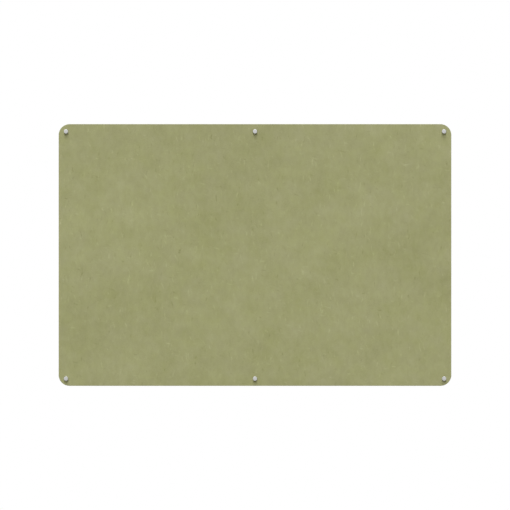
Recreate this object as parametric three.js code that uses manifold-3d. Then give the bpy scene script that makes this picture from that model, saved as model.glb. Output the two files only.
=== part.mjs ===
// A felt pinboard, held a little way off the wall by six round metal fixings.
//
// Lengths are in millimetres. X runs to the right, Y into the wall and Z up. The origin is on
// the wall's surface behind the middle of the board, whose front faces -Y. A place that is
// "out" is measured from the wall's surface towards the room, and is negative inside the wall.

import * as THREE from "three";
import { mergeVertices } from "three/addons/utils/BufferGeometryUtils.js";
import Module from "manifold-3d";

// Board: a felt facing and a paper liner glued to a softboard core, cut flush all round
const boardWidth = 900;
const boardHeight = 600;
const cornerRadius = 25;
const feltThickness = 3;
const coreThickness = 8;
const linerThickness = 1;
const glueLine = 0.2;
const boardCurveSegments = 8;

// Places of the fixings: a row along the top edge and a row along the bottom edge
const fixingInset = 17;
const columnShares = { left: -1, middle: 0, right: 1 };
const rowShares = { top: 1, bottom: -1 };

// Hanger bolt: a machine thread through the board and a wood thread in the wall
const boltRadius = 2.5;
const boltEndChamfer = 0.5;
const threadPitch = 0.8;
const threadTurns = 5;
const woodThreadRadius = 2.2;
const boltTaper = 1.5;
const boltWallLength = 38;
const boltPointLength = 6;
const boltSides = 12;

// Room round the bolt in the metal and nylon rings, and in the softer board
const boltClearance = 0.3;
const boardHoleClearance = 0.5;

// Cap: a blind tapped round nut that is turned by hand
const capRadius = 5;
const capFaceThickness = 0.7;
const capEdgeRound = 0.8;
const capBackChamfer = 0.3;
const capBoreChamfer = 0.3;
const capBoreEndGap = 0.3;
const capEdgeSteps = 3;
const capSides = 28;

// Rings: the spacer behind the board and a nylon washer on each side of it
const spacerLength = 12;
const spacerRadius = 5;
const spacerChamfer = 0.4;
const rearWasherThickness = 1;
const rearWasherRadius = 5;
const frontWasherThickness = 0.8;
const frontWasherRadius = 4.5;
const washerGap = 0.1;
const ringSides = 20;

// Wall plug: a split nylon tube, set just below the wall's surface. The steep sides of its
// barbs face its mouth, so that it goes in easily and holds against a pull
const plugSetBack = 2.5;
const plugRadius = 4;
const plugCollarLength = 9;
const plugBarbCount = 4;
const plugBarbLength = 5.5;
const plugBarbDepth = 0.6;
const plugTipLength = 5;
const plugTipRadius = 3;
const plugSlotWidth = 1.2;
const plugClearance = 0.3;
const plugSides = 12;

// How far a cut runs past what it cuts
const overrun = 1;

// What follows from the sizes above, from the wall outwards
const linerBack = spacerLength + rearWasherThickness;
const coreBack = linerBack + linerThickness + glueLine;
const feltBack = coreBack + coreThickness + glueLine;
const feltFront = feltBack + feltThickness;
const frontWasherBack = feltFront + washerGap;
const capBack = frontWasherBack + frontWasherThickness + washerGap;
const capTravel = threadPitch * threadTurns;
const boltEnd = capBack + capTravel;
const capBoreEnd = boltEnd + capBoreEndGap;
const capFront = capBoreEnd + capFaceThickness;
const ringBoreRadius = boltRadius + boltClearance;
const boardHoleRadius = boltRadius + boardHoleClearance;

const fixingPlaces = Object.entries(rowShares).flatMap(([row, rowShare]) =>
  Object.entries(columnShares).map(([column, columnShare]) => ({
    name: `${row}_${column}`,
    x: columnShare * (boardWidth / 2 - fixingInset),
    z: rowShare * (boardHeight / 2 - fixingInset),
  })),
);

const finishes = {
  felt: { color: 0x9b9c70, roughness: 0.98, metalness: 0 },
  softboard: { color: 0xa58a63, roughness: 0.95, metalness: 0 },
  liner: { color: 0xb09a78, roughness: 0.9, metalness: 0 },
  satinMetal: { color: 0xd0d0ce, roughness: 0.32, metalness: 0.9 },
  zincSteel: { color: 0xa9acae, roughness: 0.35, metalness: 1 },
  clearNylon: { color: 0xe8e8e2, roughness: 0.45, metalness: 0 },
  greyNylon: { color: 0x9da1a4, roughness: 0.55, metalness: 0 },
};

const manifold = await Module();
manifold.setup();

function piece(name, geometry, finish) {
  const mesh = new THREE.Mesh(geometry, new THREE.MeshStandardMaterial(finishes[finish]));
  mesh.name = name;
  return mesh;
}

// Solids that are cut by other solids

function solidOf(geometry) {
  const bare = geometry.clone();
  bare.deleteAttribute("normal");
  bare.deleteAttribute("uv");
  const merged = mergeVertices(bare);
  return new manifold.Manifold(
    new manifold.Mesh({
      numProp: 3,
      vertProperties: merged.attributes.position.array,
      triVerts: new Uint32Array(merged.index.array),
    }),
  );
}

function geometryOf(solid) {
  const { vertProperties, triVerts } = solid.getMesh();
  const geometry = new THREE.BufferGeometry();
  geometry.setAttribute("position", new THREE.BufferAttribute(vertProperties, 3));
  geometry.setIndex(new THREE.BufferAttribute(triVerts, 1));
  geometry.computeVertexNormals();
  return geometry;
}

// Board layers

function boardOutline() {
  const right = boardWidth / 2 - cornerRadius;
  const top = boardHeight / 2 - cornerRadius;
  const quarter = Math.PI / 2;
  const outline = new THREE.Shape();
  outline.absarc(right, top, cornerRadius, 0, quarter);
  outline.absarc(-right, top, cornerRadius, quarter, 2 * quarter);
  outline.absarc(-right, -top, cornerRadius, 2 * quarter, 3 * quarter);
  outline.absarc(right, -top, cornerRadius, 3 * quarter, 4 * quarter);
  outline.closePath();
  outline.holes = fixingPlaces.map(({ x, z }) =>
    new THREE.Path().absarc(x, z, boardHoleRadius, 0, 4 * quarter),
  );
  return outline;
}

function boardLayer(name, back, thickness, finish) {
  const geometry = new THREE.ExtrudeGeometry(boardOutline(), {
    depth: thickness,
    curveSegments: boardCurveSegments,
    bevelEnabled: false,
  });
  const layer = piece(name, geometry, finish);
  layer.rotation.x = Math.PI / 2;
  layer.position.y = -back;
  return layer;
}

// Turned pieces: a profile is a list of [radius, out] that is spun about the bolt's line

function turned(profile, sides) {
  const points = profile.map(([radius, out]) => new THREE.Vector2(radius, -out));
  return new THREE.LatheGeometry(points, sides);
}

function washer(back, thickness, outerRadius) {
  const front = back + thickness;
  const profile = [
    [ringBoreRadius, back],
    [ringBoreRadius, front],
    [outerRadius, front],
    [outerRadius, back],
    [ringBoreRadius, back],
  ];
  return turned(profile, ringSides);
}

function spacer() {
  const profile = [
    [ringBoreRadius, 0],
    [ringBoreRadius, spacerLength],
    [spacerRadius - spacerChamfer, spacerLength],
    [spacerRadius, spacerLength - spacerChamfer],
    [spacerRadius, spacerChamfer],
    [spacerRadius - spacerChamfer, 0],
    [ringBoreRadius, 0],
  ];
  return turned(profile, ringSides);
}

function cap() {
  const edge = Array.from({ length: capEdgeSteps + 1 }, (_, step) => {
    const angle = (Math.PI / 2) * (1 - step / capEdgeSteps);
    return [
      capRadius - capEdgeRound * (1 - Math.cos(angle)),
      capFront - capEdgeRound * (1 - Math.sin(angle)),
    ];
  });
  const profile = [
    [0, capFront],
    ...edge,
    [capRadius, capBack + capBackChamfer],
    [capRadius - capBackChamfer, capBack],
    [ringBoreRadius + capBoreChamfer, capBack],
    [ringBoreRadius, capBack + capBoreChamfer],
    [ringBoreRadius, capBoreEnd],
    [0, capBoreEnd],
  ];
  return turned(profile, capSides);
}

function hangerBolt() {
  const profile = [
    [0, boltEnd],
    [boltRadius - boltEndChamfer, boltEnd],
    [boltRadius, boltEnd - boltEndChamfer],
    [boltRadius, 0],
    [woodThreadRadius, -boltTaper],
    [woodThreadRadius, boltPointLength - boltWallLength],
    [0, -boltWallLength],
  ];
  return turned(profile, boltSides);
}

function wallPlug() {
  const boreRadius = woodThreadRadius + plugClearance;
  const mouth = -plugSetBack;
  const collarEnd = mouth - plugCollarLength;
  const slotLength = plugBarbCount * plugBarbLength;
  const barbsEnd = collarEnd - slotLength;
  const tip = barbsEnd - plugTipLength;
  const barbs = Array.from({ length: plugBarbCount }, (_, index) => {
    const barbStart = collarEnd - index * plugBarbLength;
    return [
      [plugRadius, barbStart],
      [plugRadius - plugBarbDepth, barbStart - plugBarbLength],
    ];
  });
  const profile = [
    [boreRadius, tip],
    [boreRadius, mouth],
    [plugRadius, mouth],
    ...barbs.flat(),
    [plugTipRadius, barbsEnd],
    [plugTipRadius, tip],
    [boreRadius, tip],
  ];
  const slot = new THREE.BoxGeometry(2 * (plugRadius + overrun), slotLength, plugSlotWidth);
  slot.translate(0, slotLength / 2 - collarEnd, 0);
  return geometryOf(solidOf(turned(profile, plugSides)).subtract(solidOf(slot)));
}

// Fixings: the same six pieces at each place

function fixing({ name, x, z }) {
  const rearWasher = washer(spacerLength, rearWasherThickness, rearWasherRadius);
  const frontWasher = washer(frontWasherBack, frontWasherThickness, frontWasherRadius);
  const set = new THREE.Group();
  set.position.set(x, 0, z);
  set.add(
    piece(`wall_plug_${name}`, wallPlug(), "greyNylon"),
    piece(`hanger_bolt_${name}`, hangerBolt(), "zincSteel"),
    piece(`spacer_${name}`, spacer(), "satinMetal"),
    piece(`rear_washer_${name}`, rearWasher, "clearNylon"),
    piece(`front_washer_${name}`, frontWasher, "clearNylon"),
    piece(`cap_${name}`, cap(), "satinMetal"),
  );
  return set;
}

const part = new THREE.Group();
part.add(
  boardLayer("backing_liner", linerBack, linerThickness, "liner"),
  boardLayer("softboard_core", coreBack, coreThickness, "softboard"),
  boardLayer("felt_facing", feltBack, feltThickness, "felt"),
  ...fixingPlaces.map(fixing),
);

export default part;
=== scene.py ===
import math

import bpy
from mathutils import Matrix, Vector, noise
from mathutils.geometry import delaunay_2d_cdt


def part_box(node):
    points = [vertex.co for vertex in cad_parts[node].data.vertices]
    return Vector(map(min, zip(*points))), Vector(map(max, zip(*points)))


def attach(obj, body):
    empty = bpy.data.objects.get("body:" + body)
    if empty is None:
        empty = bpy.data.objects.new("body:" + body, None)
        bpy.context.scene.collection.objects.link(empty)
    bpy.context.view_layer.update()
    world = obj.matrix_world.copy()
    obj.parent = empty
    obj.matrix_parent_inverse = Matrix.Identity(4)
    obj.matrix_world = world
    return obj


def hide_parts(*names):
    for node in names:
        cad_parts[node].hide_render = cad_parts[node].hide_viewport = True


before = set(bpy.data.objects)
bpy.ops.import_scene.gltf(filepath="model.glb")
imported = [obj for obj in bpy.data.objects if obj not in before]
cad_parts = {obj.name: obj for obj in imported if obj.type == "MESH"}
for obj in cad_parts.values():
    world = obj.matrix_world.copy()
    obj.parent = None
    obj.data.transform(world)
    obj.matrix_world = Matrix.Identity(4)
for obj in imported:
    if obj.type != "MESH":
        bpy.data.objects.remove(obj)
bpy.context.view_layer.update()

# A felt pinboard on six round metal fixings, in metres. X runs to the right, Y into the wall
# and Z up. The wall's surface is at Y 0 and the felt faces -Y. "Out" is a distance from the
# wall's surface towards the room, and is negative inside the wall. A point of the board's
# plane is a Vector of two numbers, X and Z.

MM = 0.001
FULL_TURN = 2 * math.pi
QUARTER_DEGREES = 90

PLACES = [f"{row}_{column}" for row in ("top", "bottom") for column in ("left", "middle", "right")]


# Sizes that the CAD model gives

def out_range(node):
    """How far out a node starts and ends."""
    low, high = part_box(node)
    return -high.y, -low.y


def bolt_line(place):
    """Where a fixing's bolt leaves the wall."""
    low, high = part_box(f"cap_{place}")
    middle = (low + high) / 2
    return Vector((middle.x, 0, middle.z))


def radius_of(node):
    """Radius of a round node that lies along Y."""
    low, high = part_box(node)
    return (high.x - low.x) / 2


# All six fixings are alike, so any of them gives their sizes
ANY_PLACE = PLACES[0]
BOLT_LINES = [bolt_line(place) for place in PLACES]
BOARD_HALF_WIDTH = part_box("felt_facing")[1].x
BOARD_HALF_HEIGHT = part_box("felt_facing")[1].z
FELT_BACK, FELT_FRONT = out_range("felt_facing")
CAP_BACK, CAP_FRONT = out_range(f"cap_{ANY_PLACE}")
CAP_RADIUS = radius_of(f"cap_{ANY_PLACE}")
BOLT_TIP, BOLT_END = out_range(f"hanger_bolt_{ANY_PLACE}")
PLUG_TIP, PLUG_MOUTH = out_range(f"wall_plug_{ANY_PLACE}")
PLUG_RADIUS = radius_of(f"wall_plug_{ANY_PLACE}")

# All meshes
SHARP_DEGREES = 40

# Board
MERGE_DISTANCE = 1e-7
CORNER_RADIUS = 25 * MM
BOARD_HOLE_RADIUS = 3 * MM
CORNER_STEPS = 20
EDGE_STEP = 6 * MM
HOLE_SIDES = 32
ROUNDING_STEPS = 4
SUPPORT_WIDTH = 0.5 * MM
FELT_EDGE_ROUND = 0.5 * MM
FELT_BACK_EDGE_ROUND = 0.2 * MM
CORE_EDGE_ROUND = 0.15 * MM
LINER_EDGE_ROUND = 0.1 * MM

# Cut edges, which wander inwards by about these sizes at most
FELT_EDGE_WANDER = 0.07 * MM
CORE_EDGE_WANDER = 0.22 * MM
LINER_EDGE_WANDER = 0.05 * MM
WANDER_LENGTH = 24 * MM
WANDER_FALL_OFF = 1.0
WANDER_OCTAVE_RATIO = 2.0
WANDER_OCTAVES = 3

# Felt: its front stands a little proud between the fixings, which press it down. Each of
# its waves is (size, length).
FELT_LOFT = 0.18 * MM
FELT_SEAT_RADIUS = 4.8 * MM
FELT_LOFT_RADIUS = 10 * MM
FELT_EDGE_FADE = 9 * MM
FELT_GRID_STEP = 5.5 * MM
FELT_WAVES = ((0.10 * MM, 75 * MM), (0.05 * MM, 28 * MM))
FELT_RING_RADII = [radius * MM for radius in (3.7, 4.4, 5.0, 5.7, 6.5, 7.4, 8.5, 9.8, 11.4)]

# Threads: the M5 machine thread of the bolt and cap, and the bolt's wood thread
BOLT_RADIUS = 2.5 * MM
MACHINE_PITCH = 0.8 * MM
MACHINE_DEPTH = 0.49 * MM
MACHINE_CREST_SHARE = 0.125
MACHINE_ROOT_SHARE = 0.25
MACHINE_THREAD_START = 24 * MM
MACHINE_STEPS = 12
THREAD_CLEARANCE = 0.06 * MM
THREAD_RUN_OUT = 0.8 * MM
BOLT_END_CHAMFER = 0.5 * MM
BOLT_END_RADIUS = BOLT_RADIUS - BOLT_END_CHAMFER - MACHINE_DEPTH / 4
WOOD_PITCH = 2.3 * MM
WOOD_DEPTH = 0.8 * MM
WOOD_RADIUS = 2.4 * MM
WOOD_CREST_SHARE = 0.06
WOOD_ROOT_SHARE = 0.5
WOOD_THREAD_START = -2 * MM
WOOD_POINT_LENGTH = 6 * MM
WOOD_STEPS = 10
BOLT_SIDES = 40

# Cap
CAP_SIDES = 72
CAP_EDGE_ROUND = 0.8 * MM
CAP_DOME = 0.1 * MM
CAP_BACK_CHAMFER = 0.3 * MM
CAP_MOUTH_CHAMFER = 0.3 * MM
CAP_FACE_THICKNESS = 0.7 * MM
CAP_DOME_STEPS = 5
CAP_EDGE_STEPS = 8

# Rings
RING_SIDES = 72
RING_BORE_RADIUS = 2.8 * MM
SPACER_CHAMFER = 0.4 * MM
WASHER_EDGE_ROUND = 0.15 * MM
WASHER_EDGE_STEPS = 3

# Wall plug
PLUG_SIDES = 48
PLUG_BORE_RADIUS = 2.5 * MM
PLUG_COLLAR_LENGTH = 9 * MM
PLUG_BARB_COUNT = 4
PLUG_BARB_LENGTH = 5.5 * MM
PLUG_BARB_DEPTH = 0.6 * MM
PLUG_BARB_LAND = 0.5 * MM
PLUG_TIP_RADIUS = 3 * MM
PLUG_TIP_ROUND = 0.5 * MM
PLUG_TIP_STEPS = 3
PLUG_SLOT_WIDTH = 1.2 * MM
PLUG_MOUTH_CHAMFER = 0.3 * MM
PLUG_COLLAR_END = PLUG_MOUTH - PLUG_COLLAR_LENGTH
PLUG_BARBS_END = PLUG_COLLAR_END - PLUG_BARB_COUNT * PLUG_BARB_LENGTH


# Small helpers

def smoothstep(start, end, value):
    """0 up to the start, 1 past the end and eased between. The end may be the lower one."""
    share = min(1.0, max(0.0, (value - start) / (end - start)))
    return share * share * (3 - 2 * share)


def evenly(start, end, step):
    """Values from start to end, about a step apart."""
    count = max(1, round(abs(end - start) / step))
    return [start + (end - start) * number / count for number in range(count + 1)]


def circle(centre, radius, sides):
    """Points round a circle in a plane."""
    angles = [FULL_TURN * side / sides for side in range(sides)]
    return [centre + radius * Vector((math.cos(angle), math.sin(angle))) for angle in angles]


def arc_points(radius, out, size, start, end, steps):
    """(radius, out) points along a round of that size, between two angles in degrees."""
    points = []
    for step in range(steps + 1):
        angle = math.radians(start + (end - start) * step / steps)
        points.append((radius + size * math.cos(angle), out + size * math.sin(angle)))
    return points


def bridge(near, far):
    """Faces between two closed loops of points. A loop may be one point, repeated."""
    faces = []
    for here in range(len(near)):
        after = (here + 1) % len(near)
        corners = (far[here], far[after], near[after], near[here])
        faces.append(list(dict.fromkeys(corners)))
    return faces


def mesh_from(name, points, faces):
    """A smooth mesh with sharp edges where its faces turn by more than SHARP_DEGREES."""
    mesh = bpy.data.meshes.new(name)
    mesh.from_pydata(points, [], faces)
    mesh.validate()
    mesh.shade_smooth()
    mesh.set_sharp_from_angle(angle=math.radians(SHARP_DEGREES))
    return mesh


def placed(name, data, location=(0, 0, 0)):
    """A new object in the scene."""
    new_object = bpy.data.objects.new(name, data)
    new_object.location = location
    bpy.context.scene.collection.objects.link(new_object)
    return new_object


def piece(node, mesh, material, body="board", location=(0, 0, 0)):
    """A piece that stands for a CAD node, rides on its body and takes its finish."""
    detailed = placed(f"{node}_detailed", mesh, location)
    if not mesh.materials:
        mesh.materials.append(material)
    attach(detailed, body)
    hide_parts(node)
    return detailed


# Turned and threaded pieces, spun about the bolt's line

def spun(name, rows, sides, closed=False):
    """A surface spun about the Y axis. A row is (radius, out), and its radius may be a
    function of the angle. A row of radius 0 is one point. A closed section is a ring."""
    points = []
    loops = []
    for radius, out in rows:
        first = len(points)
        if radius == 0:
            points.append((0, -out, 0))
            loops.append([first] * sides)
            continue
        for side in range(sides):
            angle = FULL_TURN * side / sides
            away = radius(angle) if callable(radius) else radius
            points.append((away * math.cos(angle), -out, away * math.sin(angle)))
        loops.append(list(range(first, first + sides)))
    pairs = list(zip(loops, loops[1:]))
    if closed:
        pairs.append((loops[-1], loops[0]))
    faces = []
    for near, far in pairs:
        faces += bridge(near, far)
    return mesh_from(name, points, faces)


def ridge(phase, crest_share, root_share):
    """Height of a thread from 0 at the root to 1 at the crest, over one pitch."""
    away = min(phase % 1, 1 - phase % 1)
    flank_start = crest_share / 2
    flank_end = (1 - root_share) / 2
    return min(1.0, max(0.0, (flank_end - away) / (flank_end - flank_start)))


def machine_radius(angle, out):
    """Radius of the bolt's machine thread, a right-hand helix."""
    phase = out / MACHINE_PITCH - angle / FULL_TURN
    height = ridge(phase, MACHINE_CREST_SHARE, MACHINE_ROOT_SHARE)
    return BOLT_RADIUS - MACHINE_DEPTH * (1 - height)


def wood_radius(angle, out):
    """Radius of the bolt's wood thread, which winds the same way."""
    phase = out / WOOD_PITCH - angle / FULL_TURN
    height = ridge(phase, WOOD_CREST_SHARE, WOOD_ROOT_SHARE)
    return WOOD_RADIUS - WOOD_DEPTH * (1 - height)


def machine_row(out, largest, blend):
    """The machine thread's radius at one level. A blend of 0 is the plain shank, and the
    largest radius chamfers the bolt's end."""
    def radius(angle):
        threaded = machine_radius(angle, out)
        return min(largest, BOLT_RADIUS + (threaded - BOLT_RADIUS) * blend)
    return radius


def wood_row(out, largest, blend):
    """The wood thread's radius at one level. A blend of 0 is its bare core, and the largest
    radius shrinks towards the point, with the core in proportion."""
    def radius(angle):
        threaded = wood_radius(angle, out)
        core = WOOD_RADIUS - WOOD_DEPTH
        ridged = min(core + (threaded - core) * blend, largest)
        return max(ridged, core * largest / WOOD_RADIUS)
    return radius


def bore_row(out, smallest):
    """A cap's tapped bore at one level. The smallest radius chamfers its mouth."""
    def radius(angle):
        return max(machine_radius(angle, out) + THREAD_CLEARANCE, smallest)
    return radius


def bolt_mesh():
    """Hanger bolt, from the machine thread's flat end to the wood thread's point."""
    rows = [(0, BOLT_END), (BOLT_END_RADIUS, BOLT_END)]
    for out in evenly(BOLT_END, MACHINE_THREAD_START, MACHINE_PITCH / MACHINE_STEPS)[1:]:
        chamfered = BOLT_END_RADIUS + (BOLT_END - out)
        blend = smoothstep(MACHINE_THREAD_START, MACHINE_THREAD_START + THREAD_RUN_OUT, out)
        rows.append((machine_row(out, chamfered, blend), out))
    rows.append((BOLT_RADIUS, WOOD_THREAD_START + THREAD_RUN_OUT))
    for out in evenly(WOOD_THREAD_START, BOLT_TIP, WOOD_PITCH / WOOD_STEPS)[:-1]:
        pointed = WOOD_RADIUS * min(1.0, (out - BOLT_TIP) / WOOD_POINT_LENGTH)
        blend = smoothstep(WOOD_THREAD_START, WOOD_THREAD_START - WOOD_PITCH, out)
        rows.append((wood_row(out, pointed, blend), out))
    rows.append((0, BOLT_TIP))
    return spun("hanger_bolt", rows, BOLT_SIDES)


def cap_mesh():
    """Round cap with a gently domed face, a rounded edge and a tapped blind bore."""
    bore_end = CAP_FRONT - CAP_FACE_THICKNESS
    face_radius = CAP_RADIUS - CAP_EDGE_ROUND
    edge_out = CAP_FRONT - CAP_DOME - CAP_EDGE_ROUND
    mouth_radius = BOLT_RADIUS + THREAD_CLEARANCE + CAP_MOUTH_CHAMFER
    rows = [(0, CAP_FRONT)]
    for step in range(1, CAP_DOME_STEPS):
        share = step / CAP_DOME_STEPS
        rows.append((face_radius * share, CAP_FRONT - CAP_DOME * share ** 2))
    rows += arc_points(face_radius, edge_out, CAP_EDGE_ROUND, QUARTER_DEGREES, 0, CAP_EDGE_STEPS)
    rows += [
        (CAP_RADIUS, CAP_BACK + CAP_BACK_CHAMFER),
        (CAP_RADIUS - CAP_BACK_CHAMFER, CAP_BACK),
        (mouth_radius, CAP_BACK),
    ]
    for out in evenly(CAP_BACK, bore_end, MACHINE_PITCH / MACHINE_STEPS)[1:]:
        rows.append((bore_row(out, mouth_radius - (out - CAP_BACK)), out))
    rows.append((0, bore_end))
    return spun("cap", rows, CAP_SIDES)


def ring_mesh(kind, edge, steps):
    """A ring. Its outer edges are rounded, or chamfered where there is one step, and its
    bore's edges are chamfered by half as much."""
    node = f"{kind}_{ANY_PLACE}"
    back, front = out_range(node)
    round_radius = radius_of(node) - edge
    section = [
        (RING_BORE_RADIUS, back + edge / 2),
        (RING_BORE_RADIUS, front - edge / 2),
        (RING_BORE_RADIUS + edge / 2, front),
    ]
    section += arc_points(round_radius, front - edge, edge, QUARTER_DEGREES, 0, steps)
    section += arc_points(round_radius, back + edge, edge, 0, -QUARTER_DEGREES, steps)
    section.append((RING_BORE_RADIUS + edge / 2, back))
    return spun(kind, section, RING_SIDES, closed=True)


def plug_mesh():
    """Wall plug: a collar, barbs whose steep sides face the mouth, and a round tip."""
    section = [
        (PLUG_BORE_RADIUS, PLUG_TIP),
        (PLUG_BORE_RADIUS, PLUG_MOUTH - PLUG_MOUTH_CHAMFER),
        (PLUG_BORE_RADIUS + PLUG_MOUTH_CHAMFER, PLUG_MOUTH),
        (PLUG_RADIUS - PLUG_MOUTH_CHAMFER, PLUG_MOUTH),
        (PLUG_RADIUS, PLUG_MOUTH - PLUG_MOUTH_CHAMFER),
    ]
    for barb in range(PLUG_BARB_COUNT):
        start = PLUG_COLLAR_END - barb * PLUG_BARB_LENGTH
        section += [
            (PLUG_RADIUS, start),
            (PLUG_RADIUS, start - PLUG_BARB_LAND),
            (PLUG_RADIUS - PLUG_BARB_DEPTH, start - PLUG_BARB_LENGTH),
        ]
    section.append((PLUG_TIP_RADIUS, PLUG_BARBS_END))
    round_radius = PLUG_TIP_RADIUS - PLUG_TIP_ROUND
    round_out = PLUG_TIP + PLUG_TIP_ROUND
    tip = arc_points(round_radius, round_out, PLUG_TIP_ROUND, 0, -QUARTER_DEGREES, PLUG_TIP_STEPS)
    return slotted(spun("plug_blank", section + tip[:-1], PLUG_SIDES, closed=True))


def slotted(blank_mesh):
    """The plug's mesh with its slot cut through it, along its barbs."""
    blank = placed("plug_blank", blank_mesh)
    cutter = placed("slot_cutter", slot_block())
    cut = blank.modifiers.new("slot", "BOOLEAN")
    cut.operation = "DIFFERENCE"
    cut.solver = "EXACT"
    cut.object = cutter
    evaluated = blank.evaluated_get(bpy.context.evaluated_depsgraph_get())
    mesh = bpy.data.meshes.new_from_object(evaluated)
    mesh.name = "wall_plug"
    bpy.data.objects.remove(blank)
    bpy.data.objects.remove(cutter)
    return mesh


def slot_block():
    """The block that the plug's slot is cut with, which is wider than the plug."""
    half_width = 2 * PLUG_RADIUS
    half_height = PLUG_SLOT_WIDTH / 2
    points = []
    for x in (-half_width, half_width):
        for out in (PLUG_BARBS_END, PLUG_COLLAR_END):
            points += [(x, -out, -half_height), (x, -out, half_height)]
    faces = [(0, 2, 3, 1), (4, 5, 7, 6), (0, 1, 5, 4), (2, 6, 7, 3), (0, 4, 6, 2), (1, 3, 7, 5)]
    return mesh_from("slot_cutter", points, faces)


# Board layers

def outline():
    """Points round the board, each with the direction that faces away from it there."""
    found = []
    right = BOARD_HALF_WIDTH - CORNER_RADIUS
    top = BOARD_HALF_HEIGHT - CORNER_RADIUS
    centres = [Vector(at) for at in ((right, top), (-right, top), (-right, -top), (right, -top))]
    for corner, centre in enumerate(centres):
        for step in range(CORNER_STEPS + 1):
            angle = math.radians(QUARTER_DEGREES * (corner + step / CORNER_STEPS))
            away = Vector((math.cos(angle), math.sin(angle)))
            found.append((centre + away * CORNER_RADIUS, away))
        here, away = found[-1]
        there = centres[(corner + 1) % len(centres)] + away * CORNER_RADIUS
        count = round((there - here).length / EDGE_STEP)
        for step in range(1, count):
            found.append((here.lerp(there, step / count), away))
    return found


OUTLINE = outline()
HOLE_CENTRES = [Vector((line.x, line.z)) for line in BOLT_LINES]
HOLES = [circle(centre, BOARD_HOLE_RADIUS, HOLE_SIDES) for centre in HOLE_CENTRES]


def edge_distance(point):
    """How far a point inside the board is from its edge."""
    over_x = abs(point.x) - (BOARD_HALF_WIDTH - CORNER_RADIUS)
    over_z = abs(point.y) - (BOARD_HALF_HEIGHT - CORNER_RADIUS)
    if over_x > 0 and over_z > 0:
        return CORNER_RADIUS - math.hypot(over_x, over_z)
    return CORNER_RADIUS - max(over_x, over_z)


def hole_distance(point):
    """How far a point is from the nearest hole's centre."""
    return min((point - centre).length for centre in HOLE_CENTRES)


def felt_inner_points():
    """Points inside the felt's front: rings round each hole, and a staggered grid."""
    points = []
    for centre in HOLE_CENTRES:
        for radius in FELT_RING_RADII:
            points += circle(centre, radius, HOLE_SIDES)
    from_rings = max(FELT_RING_RADII) + FELT_GRID_STEP / 2
    from_edge = FELT_GRID_STEP / 2
    rows = round(2 * BOARD_HALF_HEIGHT / FELT_GRID_STEP)
    columns = round(2 * BOARD_HALF_WIDTH / FELT_GRID_STEP)
    for row in range(rows + 1):
        stagger = 0.5 * (row % 2)
        for column in range(columns + 1):
            x = -BOARD_HALF_WIDTH + (column + stagger) * FELT_GRID_STEP
            z = -BOARD_HALF_HEIGHT + row * FELT_GRID_STEP
            point = Vector((x, z))
            if edge_distance(point) > from_edge and hole_distance(point) > from_rings:
                points.append(point)
    return points


def felt_rise(point):
    """How far the felt's front stands proud of its nominal face at a point."""
    free = smoothstep(FELT_SEAT_RADIUS, FELT_LOFT_RADIUS, hole_distance(point))
    free *= smoothstep(0, FELT_EDGE_FADE, edge_distance(point))
    waves = 0
    for size, length in FELT_WAVES:
        at = Vector((point.x / length, length / MM, point.y / length))
        waves += size * noise.noise(at)
    return free * (FELT_LOFT + waves)


def no_rise(point):
    """The rise of a flat face."""
    return 0


def wander(point, size, seed):
    """How far a cut edge wanders inwards at a point."""
    at = Vector((point.x / WANDER_LENGTH, seed, point.y / WANDER_LENGTH))
    swing = noise.fractal(at, WANDER_FALL_OFF, WANDER_OCTAVE_RATIO, WANDER_OCTAVES)
    return size * (0.5 + 0.5 * swing)


def rounded_rim(back, front, back_round, front_round):
    """(inset, out) rows from front to back, with rounded edges and a flat support row
    inside each face."""
    degrees = [QUARTER_DEGREES * step / ROUNDING_STEPS for step in range(ROUNDING_STEPS + 1)]
    angles = [math.radians(turn) for turn in degrees]
    rows = [(front_round + SUPPORT_WIDTH, front)]
    for angle in angles:
        inset = front_round * (1 - math.sin(angle))
        rows.append((inset, front - front_round * (1 - math.cos(angle))))
    for angle in angles:
        inset = back_round * (1 - math.cos(angle))
        rows.append((inset, back + back_round * (1 - math.sin(angle))))
    rows.append((back_round + SUPPORT_WIDTH, back))
    return rows


def loop_edges(first, count):
    """Edges round a closed loop of points, by index."""
    return [(first + here, first + (here + 1) % count) for here in range(count)]


def filled(loop, inside):
    """Triangles that fill a loop round the holes, as indices of loop + holes + inside."""
    all_points = list(loop)
    edges = loop_edges(0, len(loop))
    hole_of = {}
    for number, hole in enumerate(HOLES):
        first = len(all_points)
        all_points += hole
        edges += loop_edges(first, len(hole))
        hole_of.update({first + index: number for index in range(len(hole))})
    all_points += inside
    triangles_inside = 1
    found = delaunay_2d_cdt(all_points, edges, [], triangles_inside, MERGE_DISTANCE)
    new_faces, originals = found[2:4]
    triangles = []
    for face in new_faces:
        corners = [originals[index][0] for index in face]
        owners = {hole_of.get(corner) for corner in corners}
        in_a_hole = len(owners) == 1 and None not in owners
        if not in_a_hole:
            triangles.append(corners)
    return triangles


def layer_face(points, loop, out, rise, inside):
    """Adds a face's hole and inner points to a layer's points, and gives the triangles that
    fill the face, with the index of its first hole's first point."""
    rim_points = [Vector((points[index][0], points[index][2])) for index in loop]
    first_hole = len(points)
    hole_points = [point for hole in HOLES for point in hole]
    for point in hole_points + inside:
        points.append((point.x, -(out + rise(point)), point.y))
    indices = loop + list(range(first_hole, len(points)))
    triangles = [[indices[corner] for corner in corners] for corners in filled(rim_points, inside)]
    return triangles, first_hole


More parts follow.
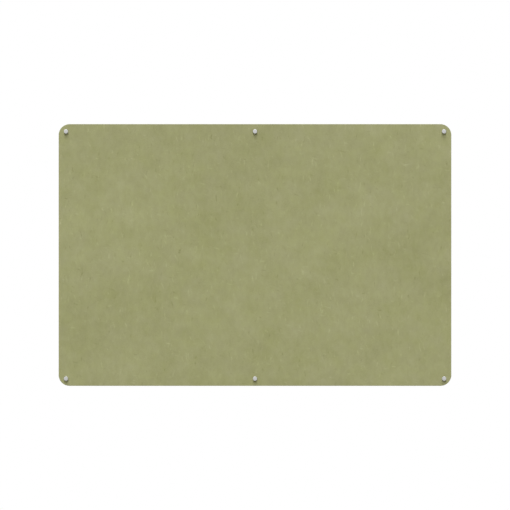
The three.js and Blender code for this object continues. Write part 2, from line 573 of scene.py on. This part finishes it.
def board_layer(name, rim, wander_size, rise=no_rise, inside=()):
    """A board layer: a rim of (inset, out) rows from front to back, filled on both faces.
    Its front may rise by a function of the point, and then has points inside for that."""
    front = rim[0][1]
    back = rim[-1][1]
    points = []
    loops = []
    for inset, out in rim:
        loops.append(list(range(len(points), len(points) + len(OUTLINE))))
        for place, away in OUTLINE:
            moved = place - away * (inset + wander(place, wander_size, back))
            points.append((moved.x, -out, moved.y))
    faces = []
    for near, far in zip(loops, loops[1:]):
        faces += bridge(near, far)
    front_triangles, front_hole = layer_face(points, loops[0], front, rise, list(inside))
    back_triangles, back_hole = layer_face(points, loops[-1], back, no_rise, [])
    faces += front_triangles
    faces += [corners[::-1] for corners in back_triangles]
    for hole in range(len(HOLES)):
        sides = range(hole * HOLE_SIDES, (hole + 1) * HOLE_SIDES)
        in_front = [front_hole + side for side in sides]
        behind = [back_hole + side for side in sides]
        faces += bridge(behind, in_front)
    return mesh_from(name, points, faces)


# Shader nodes. A noise's scale is in cells a metre, and its middle is 0.5.

NOISE_MIDDLE = 0.5

# Sockets of a Mix node for colours, whose names other sockets share
MIX_SHARE = 0
MIX_FIRST = 6
MIX_SECOND = 7
MIX_RESULT = 2


def set_inputs(tree, node, inputs):
    """Sets a node's inputs to plain values, and links those that are other nodes' outputs."""
    for key, value in inputs.items():
        if isinstance(value, bpy.types.NodeSocket):
            tree.links.new(value, node.inputs[key])
        else:
            node.inputs[key].default_value = value


def add(tree, kind, inputs=None, **settings):
    """A new node with its inputs and settings."""
    node = tree.nodes.new(f"ShaderNode{kind}")
    for name, value in settings.items():
        setattr(node, name, value)
    set_inputs(tree, node, inputs or {})
    return node


def maths(tree, operation, first, second=0.0, third=0.0):
    """What a Math node gives."""
    inputs = {0: first, 1: second, 2: third}
    return add(tree, "Math", inputs, operation=operation).outputs[0]


def vector_maths(tree, operation, first, second):
    """What a Vector Math node gives for two places or colours."""
    return add(tree, "VectorMath", {0: first, 1: second}, operation=operation).outputs[0]


def scaled(tree, vector, factor):
    """A place or a colour times a factor."""
    return add(tree, "VectorMath", {0: vector, "Scale": factor}, operation="SCALE").outputs[0]


def length_of(tree, vector):
    """How far a place is from 0."""
    return add(tree, "VectorMath", {0: vector}, operation="LENGTH").outputs["Value"]


def ramp(tree, value, over, to=(0.0, 1.0)):
    """A value eased from one range to another."""
    inputs = {"Value": value, "From Min": over[0], "From Max": over[1]}
    inputs.update({"To Min": to[0], "To Max": to[1]})
    return add(tree, "MapRange", inputs, interpolation_type="SMOOTHSTEP").outputs[0]


def raised(tree, base, value, amount):
    """A base with a value added, times an amount."""
    return maths(tree, "MULTIPLY_ADD", value, amount, base)


def varied(tree, base, value, depth):
    """A base that a noise moves up and down, over that depth from lowest to highest."""
    return raised(tree, base, maths(tree, "SUBTRACT", value, NOISE_MIDDLE), depth)


def highest(tree, values):
    """The highest of several values at each point."""
    found = values[0]
    for value in values[1:]:
        found = maths(tree, "MAXIMUM", found, value)
    return found


def mix_colour(tree, share, first, second):
    """The first colour at a share of 0, and the second at 1."""
    inputs = {MIX_SHARE: share, MIX_FIRST: first, MIX_SECOND: second}
    return add(tree, "Mix", inputs, data_type="RGBA").outputs[MIX_RESULT]


def noise_value(tree, place, scale, detail, roughness, seed):
    """A noise from 0 to 1, whose detail is the number of finer noises added to it."""
    inputs = {"Vector": place, "W": seed, "Scale": scale, "Detail": detail, "Roughness": roughness}
    return add(tree, "TexNoise", inputs, noise_dimensions="4D").outputs["Fac"]


def warped(tree, place, scale, size, seed):
    """A place moved about by noise, so that straight streaks come out curved."""
    inputs = {"Vector": place, "W": seed, "Scale": scale, "Detail": 1.0}
    colour = add(tree, "TexNoise", inputs, noise_dimensions="4D").outputs["Color"]
    middle = (NOISE_MIDDLE, NOISE_MIDDLE, NOISE_MIDDLE)
    moved = scaled(tree, vector_maths(tree, "SUBTRACT", colour, middle), size)
    return vector_maths(tree, "ADD", place, moved)


def stretched(tree, place, turn_degrees, length, width):
    """A place in a grain whose cells have that length and width, turned in the board's plane."""
    inputs = {
        "Vector": place,
        "Rotation": (0, math.radians(turn_degrees), 0),
        "Scale": (length, width, width),
    }
    return add(tree, "Mapping", inputs, vector_type="TEXTURE").outputs[0]


def grains(tree, place, turns, length, width, detail, first_seed):
    """A noise for each of several turns, with cells of that length and width."""
    found = []
    for number, turn in enumerate(turns):
        grain = stretched(tree, place, turn, length, width)
        seed = first_seed + number
        found.append(noise_value(tree, grain, scale=1.0, detail=detail, roughness=0.5, seed=seed))
    return found


def streaks(tree, place, turns, length, width, threshold, softness, first_seed, ragged=0.0):
    """Short tufts, 1 where a grain stands high and 0 elsewhere. A value that is given as
    ragged frays their outlines."""
    layers = []
    for grain in grains(tree, place, turns, length, width, detail=0.0, first_seed=first_seed):
        frayed = maths(tree, "ADD", grain, ragged)
        layers.append(ramp(tree, frayed, over=(threshold, threshold + softness)))
    return highest(tree, layers)


def fibres(tree, place, turns, length, width, thickness, first_seed):
    """Thin curly lines, 1 where a grain crosses its middle and 0 between."""
    layers = []
    for grain in grains(tree, place, turns, length, width, detail=1.0, first_seed=first_seed):
        from_line = maths(tree, "ABSOLUTE", maths(tree, "SUBTRACT", grain, NOISE_MIDDLE))
        layers.append(ramp(tree, from_line, over=(thickness, 0.0)))
    return highest(tree, layers)


def section_place(tree, place):
    """A place on the section of a turned piece: its distance from the axis, and along it."""
    parts = add(tree, "SeparateXYZ", {0: place})
    flat = add(tree, "CombineXYZ", {"X": parts.outputs["X"], "Y": parts.outputs["Z"]})
    radius = length_of(tree, flat.outputs[0])
    return add(tree, "CombineXYZ", {"X": radius, "Y": parts.outputs["Y"]}).outputs[0]


def piece_seed(tree):
    """A number of each piece's own, so that no two pieces have the same marks."""
    return add(tree, "ObjectInfo").outputs["Random"]


def new_material(name):
    """A material with a bare surface shader: (material, tree, shader, object place)."""
    material = bpy.data.materials.new(name)
    material.use_nodes = True
    tree = material.node_tree
    shader = tree.nodes["Principled BSDF"]
    place = add(tree, "TexCoord").outputs["Object"]
    return material, tree, shader, place


def dress(tree, shader, colour, height, depth, looks):
    """Gives a shader its colour, a bump of that depth and its other looks by name."""
    bump = add(tree, "Bump", {"Height": height, "Distance": depth, "Strength": 1.0})
    set_inputs(tree, shader, {"Base Color": colour, "Normal": bump.outputs["Normal"], **looks})


# Materials, with the two colours that each of them varies between

FELT_GREENS = ((0.321, 0.331, 0.134, 1), (0.339, 0.331, 0.189, 1))
SOFTBOARD_BROWNS = ((0.32, 0.215, 0.108, 1), (0.42, 0.295, 0.16, 1))
KRAFT_BROWNS = ((0.39, 0.285, 0.16, 1), (0.48, 0.36, 0.215, 1))
SATIN_METAL_GREYS = ((0.405, 0.405, 0.40, 1), (0.465, 0.465, 0.455, 1))
ZINC_GREYS = ((0.36, 0.37, 0.385, 1), (0.45, 0.455, 0.46, 1))
MILKY_WHITES = ((0.76, 0.76, 0.71, 1), (0.84, 0.84, 0.81, 1))
PLUG_GREYS = ((0.31, 0.33, 0.34, 1), (0.37, 0.39, 0.40, 1))


def felt_clouds(tree, place):
    """A cloudy tone about 1, with clouds from the size of the board down to 20 mm."""
    broad = noise_value(tree, place, scale=1.6, detail=1.0, roughness=0.5, seed=12.65)
    cloud = noise_value(tree, place, scale=3.1, detail=4.0, roughness=1.0, seed=13.55)
    mottle = noise_value(tree, place, scale=24.0, detail=1.0, roughness=0.8, seed=5.5)
    tone = varied(tree, 1.0, broad, depth=0.2)
    tone = varied(tree, tone, cloud, depth=0.44)
    return varied(tree, tone, mottle, depth=0.14)


def felt_patches(tree, curved):
    """Patches of -0.5 and 0.5 with soft edges, longer up and down than across."""
    upright = stretched(tree, curved, turn_degrees=90, length=15 * MM, width=8 * MM)
    patchy = noise_value(tree, upright, scale=1.0, detail=0.0, roughness=0.5, seed=41.0)
    return ramp(tree, patchy, over=(0.43, 0.57), to=(-0.5, 0.5))


def felt_tufts(tree, curved, pale, deep):
    """Sparse tufts, curved, ragged and mostly upright: light ones of pale fibres, over 0,
    and dark ones of deep fibres, under 0."""
    raggedness = 0.05
    between_fibres = 0.2
    added_on_fibres = 1.3
    ragged = maths(tree, "MULTIPLY", maths(tree, "SUBTRACT", pale, deep), raggedness)
    light = streaks(
        tree, curved, turns=(84, 98, 70, 8), length=20 * MM, width=4.2 * MM,
        threshold=0.765, softness=0.06, first_seed=2.0, ragged=ragged,
    )
    dark = streaks(
        tree, curved, turns=(96, 110, 82, 20), length=17 * MM, width=4.2 * MM,
        threshold=0.755, softness=0.06, first_seed=9.0, ragged=ragged,
    )
    light = maths(tree, "MULTIPLY", light, raised(tree, between_fibres, pale, added_on_fibres))
    dark = maths(tree, "MULTIPLY", dark, raised(tree, between_fibres, deep, added_on_fibres))
    return maths(tree, "SUBTRACT", light, dark)


def felt_material():
    material, tree, shader, place = new_material("felt")
    # Single fibres, which curl and lie over one another, and the fuzz between them
    curved = warped(tree, place, scale=55.0, size=9 * MM, seed=0.3)
    pale = fibres(
        tree, curved, turns=(12, 60, 108, 156),
        length=3.4 * MM, width=0.8 * MM, thickness=0.03, first_seed=15.0,
    )
    deep = fibres(
        tree, curved, turns=(37, 85, 133, 181),
        length=2.8 * MM, width=0.8 * MM, thickness=0.03, first_seed=31.0,
    )
    fuzz = noise_value(tree, place, scale=2600.0, detail=2.0, roughness=0.7, seed=4.0)
    tone = raised(tree, felt_clouds(tree, place), felt_patches(tree, curved), amount=0.03)
    tone = raised(tree, tone, felt_tufts(tree, curved, pale, deep), amount=0.19)
    tone = raised(tree, tone, pale, amount=0.12)
    tone = raised(tree, tone, deep, amount=-0.11)
    tone = varied(tree, tone, fuzz, depth=0.27)
    # Pale places are also greyer and dark ones greener, and the dye varies from place to place
    blue_swing = 1.4
    blue_tone = raised(tree, 1 - blue_swing, tone, blue_swing)
    tones = add(tree, "CombineXYZ", {"X": tone, "Y": tone, "Z": blue_tone}).outputs[0]
    dye = noise_value(tree, place, scale=22.0, detail=3.0, roughness=0.7, seed=6.0)
    colour = vector_maths(tree, "MULTIPLY", mix_colour(tree, dye, *FELT_GREENS), tones)
    height = raised(tree, fuzz, pale, amount=0.35)
    height = raised(tree, height, deep, amount=-0.25)
    dress(tree, shader, colour, height, depth=0.07 * MM, looks={
        "Roughness": 0.95,
        "Specular IOR Level": 0.15,
        "Sheen Weight": 0.08,
        "Sheen Roughness": 0.6,
    })
    return material


def softboard_material():
    material, tree, shader, place = new_material("softboard")
    # Pulped wood laid down flat, so that every cut edge shows thin layers
    curved = warped(tree, place, scale=90.0, size=3 * MM, seed=1.3)
    flattening = (1, 3, 1)
    laid = vector_maths(tree, "MULTIPLY", curved, flattening)
    layers = noise_value(tree, laid, scale=520.0, detail=4.0, roughness=0.7, seed=3.0)
    pulp = fibres(
        tree, laid, turns=(0,), length=3 * MM, width=1.5 * MM, thickness=0.05, first_seed=4.0
    )
    crumbs = noise_value(tree, place, scale=1500.0, detail=3.0, roughness=0.7, seed=5.0)
    stain = noise_value(tree, place, scale=22.0, detail=4.0, roughness=0.6, seed=7.0)
    tone = varied(tree, 1.0, layers, depth=0.6)
    tone = varied(tree, tone, crumbs, depth=0.8)
    tone = raised(tree, tone, pulp, amount=0.10)
    colour = scaled(tree, mix_colour(tree, stain, *SOFTBOARD_BROWNS), tone)
    height = raised(tree, maths(tree, "ADD", layers, crumbs), pulp, amount=0.25)
    dress(tree, shader, colour, height, depth=0.3 * MM, looks={
        "Roughness": 0.95,
        "Specular IOR Level": 0.2,
    })
    return material


def liner_material():
    material, tree, shader, place = new_material("liner")
    # Kraft paper with short dark specks, pressed by a roll
    curved = warped(tree, place, scale=40.0, size=12 * MM, seed=2.2)
    specks = streaks(
        tree, curved, turns=(5, 50, 95, 140), length=5 * MM, width=0.4 * MM,
        threshold=0.68, softness=0.12, first_seed=20.0,
    )
    cloud = noise_value(tree, place, scale=9.0, detail=6.0, roughness=0.75, seed=11.0)
    rolled = noise_value(tree, place, scale=420.0, detail=3.0, roughness=0.55, seed=12.0)
    tone = raised(tree, 1.0, specks, amount=-0.13)
    tone = varied(tree, tone, rolled, depth=0.2)
    colour = scaled(tree, mix_colour(tree, cloud, *KRAFT_BROWNS), tone)
    dress(tree, shader, colour, rolled, depth=0.08 * MM, looks={
        "Roughness": ramp(tree, rolled, over=(0.3, 0.7), to=(0.72, 0.88)),
        "Specular IOR Level": 0.3,
    })
    return material


def satin_metal_material():
    material, tree, shader, place = new_material("satin_metal")
    seed = piece_seed(tree)
    # Fine rings that the turning tool leaves, under a satin finish
    section = section_place(tree, place)
    rings = noise_value(tree, section, scale=7000.0, detail=2.0, roughness=0.6, seed=seed)
    tarnish = noise_value(tree, place, scale=260.0, detail=4.0, roughness=0.6, seed=seed)
    tone = varied(tree, 1.0, rings, depth=0.25)
    colour = scaled(tree, mix_colour(tree, tarnish, *SATIN_METAL_GREYS), tone)
    worn = raised(tree, tarnish, rings, amount=0.2)
    dress(tree, shader, colour, rings, depth=0.012 * MM, looks={
        "Roughness": ramp(tree, worn, over=(0.4, 0.8), to=(0.48, 0.60)),
        "Metallic": 1.0,
    })
    return material


def zinc_steel_material():
    material, tree, shader, place = new_material("zinc_steel")
    seed = piece_seed(tree)
    dulled = noise_value(tree, place, scale=340.0, detail=5.0, roughness=0.65, seed=seed)
    colour = mix_colour(tree, dulled, *ZINC_GREYS)
    dress(tree, shader, colour, dulled, depth=0.02 * MM, looks={
        "Roughness": ramp(tree, dulled, over=(0.3, 0.7), to=(0.25, 0.45)),
        "Metallic": 1.0,
    })
    return material


def clear_nylon_material():
    material, tree, shader, place = new_material("clear_nylon")
    seed = piece_seed(tree)
    cloud = noise_value(tree, place, scale=380.0, detail=3.0, roughness=0.5, seed=seed)
    colour = mix_colour(tree, cloud, *MILKY_WHITES)
    dress(tree, shader, colour, cloud, depth=0.02 * MM, looks={
        "Roughness": ramp(tree, cloud, over=(0.3, 0.7), to=(0.38, 0.5)),
        "Subsurface Weight": 0.35,
        "Subsurface Scale": 1.5 * MM,
    })
    return material


def grey_nylon_material():
    material, tree, shader, place = new_material("grey_nylon")
    seed = piece_seed(tree)
    mould = noise_value(tree, place, scale=1400.0, detail=3.0, roughness=0.6, seed=seed)
    flow = noise_value(tree, place, scale=160.0, detail=3.0, roughness=0.5, seed=seed)
    colour = mix_colour(tree, flow, *PLUG_GREYS)
    dress(tree, shader, colour, mould, depth=0.03 * MM, looks={
        "Roughness": ramp(tree, mould, over=(0.3, 0.7), to=(0.5, 0.62)),
        "Subsurface Weight": 0.1,
        "Subsurface Scale": 1 * MM,
    })
    return material


# Pieces

def felt_facing():
    """The felt, which is cut to the board's size, with round corners and the fixings' holes."""
    rim = rounded_rim(FELT_BACK, FELT_FRONT, FELT_BACK_EDGE_ROUND, FELT_EDGE_ROUND)
    mesh = board_layer("felt_facing", rim, FELT_EDGE_WANDER, felt_rise, felt_inner_points())
    felt = piece("felt_facing", mesh, felt_material())


def stiff_layer(node, material, edge_round, wander_size):
    """The core or the liner, flat on both faces."""
    back, front = out_range(node)
    rim = rounded_rim(back, front, edge_round, edge_round)
    piece(node, board_layer(node, rim, wander_size), material)


def fixings():
    """The pieces of the six fixings. Each kind has one mesh, which all six places share."""
    materials = {
        "satin_metal": satin_metal_material(),
        "zinc_steel": zinc_steel_material(),
        "clear_nylon": clear_nylon_material(),
        "grey_nylon": grey_nylon_material(),
    }
    front_washer = ring_mesh("front_washer", WASHER_EDGE_ROUND, WASHER_EDGE_STEPS)
    rear_washer = ring_mesh("rear_washer", WASHER_EDGE_ROUND, WASHER_EDGE_STEPS)
    spacer = ring_mesh("spacer", SPACER_CHAMFER, steps=1)
    kinds = {
        "cap": (cap_mesh(), "satin_metal"),
        "front_washer": (front_washer, "clear_nylon"),
        "rear_washer": (rear_washer, "clear_nylon"),
        "spacer": (spacer, "satin_metal"),
        "hanger_bolt": (bolt_mesh(), "zinc_steel"),
        "wall_plug": (plug_mesh(), "grey_nylon"),
    }
    # The kinds that move, and what the names of their bodies start with
    moving_bodies = {"cap": "cap", "front_washer": "washer"}
    for place, line in zip(PLACES, BOLT_LINES):
        for kind, (mesh, slot) in kinds.items():
            body = f"{moving_bodies[kind]}_{place}" if kind in moving_bodies else "board"
            piece(f"{kind}_{place}", mesh, materials[slot], body, line)


felt_facing()
stiff_layer("softboard_core", softboard_material(), CORE_EDGE_ROUND, CORE_EDGE_WANDER)
stiff_layer("backing_liner", liner_material(), LINER_EDGE_ROUND, LINER_EDGE_WANDER)
fixings()


# Floor, light and camera

FLOOR_LEVEL = -1.7
FLOOR_RADIUS = 5.0
FLOOR_FADE_START = 2.5
FLOOR_SIDES = 96
FLOOR_GREYS = ((0.70, 0.70, 0.70, 1), (0.74, 0.74, 0.74, 1))
FLOOR_UNSEEN_GREY = (0.3, 0.3, 0.3, 1)
WHITE = (1, 1, 1, 1)
AMBIENT = 0.40
VIEW_WIDTH = 1.1689
LENS_MM = 150
SENSOR_MM = 36
FAR_LIMIT = 100


def seen_directly(tree):
    """1 for rays of the camera, in reflections and through anything clear."""
    path = add(tree, "LightPath")
    rays = [path.outputs[f"Is {kind} Ray"] for kind in ("Camera", "Glossy", "Transmission")]
    return highest(tree, rays)


def white_world():
    """White where it is seen, and a plain soft light where it only lights the object."""
    world = bpy.data.worlds.new("white")
    world.use_nodes = True
    tree = world.node_tree
    strength = raised(tree, AMBIENT, seen_directly(tree), 1 - AMBIENT)
    set_inputs(tree, tree.nodes["Background"], {"Color": WHITE, "Strength": strength})
    bpy.context.scene.world = world


def floor_material():
    """Pale where it is seen, darker where it would light the object from below, and white
    towards its rim, so that it ends in the background."""
    material, tree, shader, place = new_material("floor")
    seen = seen_directly(tree)
    speckle = noise_value(tree, place, scale=40.0, detail=3.0, roughness=0.5, seed=2.0)
    pale = mix_colour(tree, speckle, *FLOOR_GREYS)
    colour = mix_colour(tree, seen, FLOOR_UNSEEN_GREY, pale)
    set_inputs(tree, shader, {"Base Color": colour, "Roughness": 0.9, "Specular IOR Level": 0.1})
    near_rim = ramp(tree, length_of(tree, place), over=(FLOOR_FADE_START, FLOOR_RADIUS))
    fade = maths(tree, "MULTIPLY", near_rim, seen)
    white = add(tree, "Emission", {"Strength": 1.0})
    mixed = add(tree, "MixShader", {0: fade, 1: shader.outputs[0], 2: white.outputs[0]})
    set_inputs(tree, tree.nodes["Material Output"], {"Surface": mixed.outputs[0]})
    return material


def pale_floor():
    """A round floor, as far below as under a board that hangs on a wall."""
    rim = [(point.x, point.y, 0) for point in circle(Vector((0, 0)), FLOOR_RADIUS, FLOOR_SIDES)]
    mesh = mesh_from("floor", rim, [list(range(len(rim)))])
    mesh.materials.append(floor_material())
    placed("floor", mesh, (0, 0, FLOOR_LEVEL))


def sun(name, azimuth, elevation, share, width_degrees):
    """A soft light from far off. Azimuth 0 is straight in front, and 90 is on the right. Its
    share is how bright it alone makes a white front or back, where the background is 1."""
    data = bpy.data.lights.new(name, "SUN")
    turn = math.radians(azimuth)
    climb = math.radians(elevation)
    level = math.cos(climb)
    source = Vector((math.sin(turn) * level, -math.cos(turn) * level, math.sin(climb)))
    data.energy = math.pi * share / abs(source.y)
    data.angle = math.radians(width_degrees)
    lamp = placed(name, data)
    lamp.rotation_mode = "QUATERNION"
    lamp.rotation_quaternion = source.to_track_quat("Z", "Y")


def camera():
    """Straight in front, where the view is VIEW_WIDTH wide at the felt's face."""
    data = bpy.data.cameras.new("camera")
    data.lens = LENS_MM
    data.sensor_width = SENSOR_MM
    data.clip_end = FAR_LIMIT
    distance = VIEW_WIDTH * LENS_MM / SENSOR_MM
    seen_from = placed("camera", data, (0, -(FELT_FRONT + distance), 0))
    seen_from.rotation_euler = (math.radians(QUARTER_DEGREES), 0, 0)
    bpy.context.scene.camera = seen_from


white_world()
pale_floor()
sun("key", azimuth=-5, elevation=40, share=0.32, width_degrees=24)
sun("top", azimuth=-8, elevation=69, share=0.245, width_degrees=26)
sun("back", azimuth=150, elevation=20, share=0.42, width_degrees=30)
camera()
bpy.context.scene.view_settings.view_transform = "Standard"
